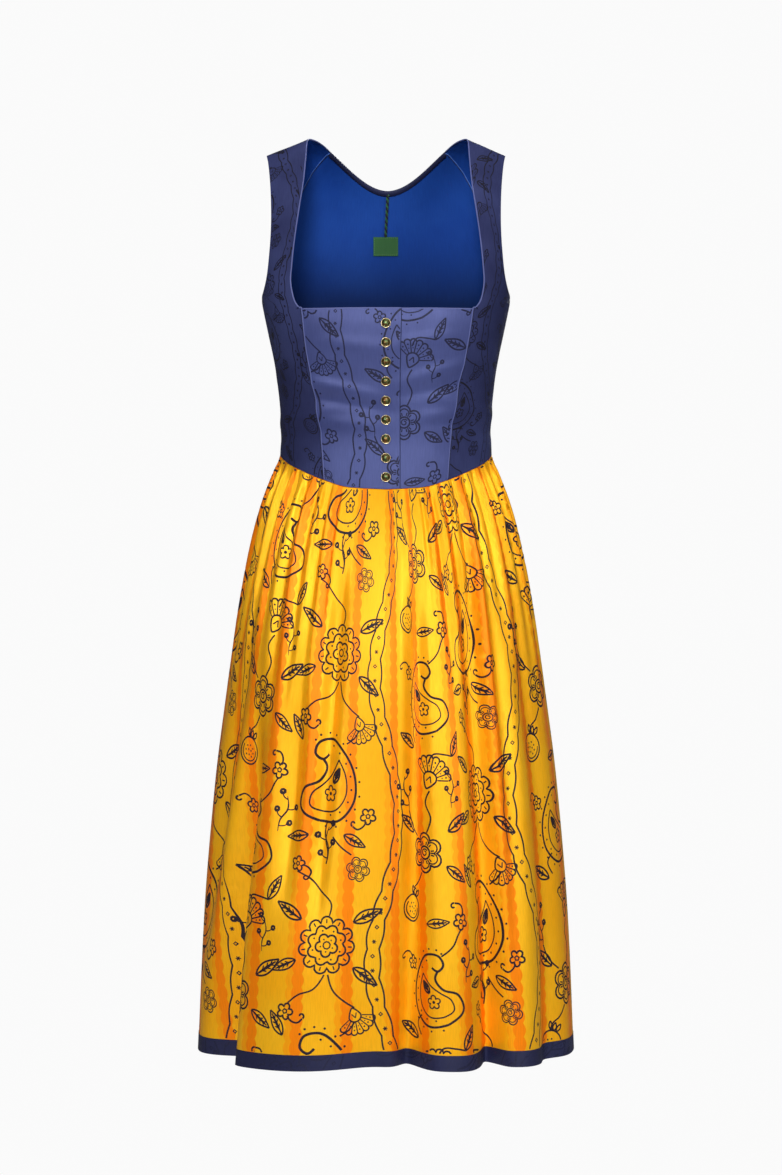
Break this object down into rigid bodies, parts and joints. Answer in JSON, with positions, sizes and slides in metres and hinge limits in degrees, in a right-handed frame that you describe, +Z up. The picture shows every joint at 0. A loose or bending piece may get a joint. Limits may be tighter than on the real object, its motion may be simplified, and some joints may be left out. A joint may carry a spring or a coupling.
{
  "type": "dirndl",
  "caption": "Sleeveless midi dirndl in its worn form: button-front bodice with wide straps and a square neckline, and a gathered print skirt with a bound hem.",
  "frame": {"origin": "midpoint between the straps at shoulder height, where the wearer's shoulders carry the dress", "axes": "+Z up along the body, -Y towards the front with the buttons, +X to the right seen from the front"},
  "size_m": [0.4683, 0.3908, 1.1349],
  "materials": {
    "bodice_cloth": "slate navy satin with a darker line print",
    "lining": "royal blue smooth lining",
    "skirt_cloth": "golden sateen with wavy orange stripes and a navy line print",
    "hem_cloth": "navy satin band with a darker print",
    "button_metal": "aged bronze with a bright rim",
    "label_weave": "plain green woven label",
    "cord_twist": "twisted green and black cord"
  },
  "bodies": {
    "root": {"front_right": "bodice_cloth", "front_left": "bodice_cloth", "side_front_left": "bodice_cloth", "side_front_right": "bodice_cloth", "side_back_left": "bodice_cloth", "side_back_right": "bodice_cloth", "centre_back": "bodice_cloth", "lining_side_front_left": "lining", "lining_side_front_right": "lining", "lining_side_back_left": "lining", "lining_side_back_right": "lining", "lining_centre_back": "lining", "button_1": "button_metal", "button_2": "button_metal", "button_3": "button_metal", "button_4": "button_metal", "button_5": "button_metal", "button_6": "button_metal", "button_7": "button_metal", "button_8": "button_metal", "button_9": "button_metal", "label": "label_weave", "hanger_cord": "cord_twist", "skirt_front": "skirt_cloth", "skirt_back": "skirt_cloth", "hem_band_front": "hem_cloth", "hem_band_back": "hem_cloth"}
  },
  "joints": []
}
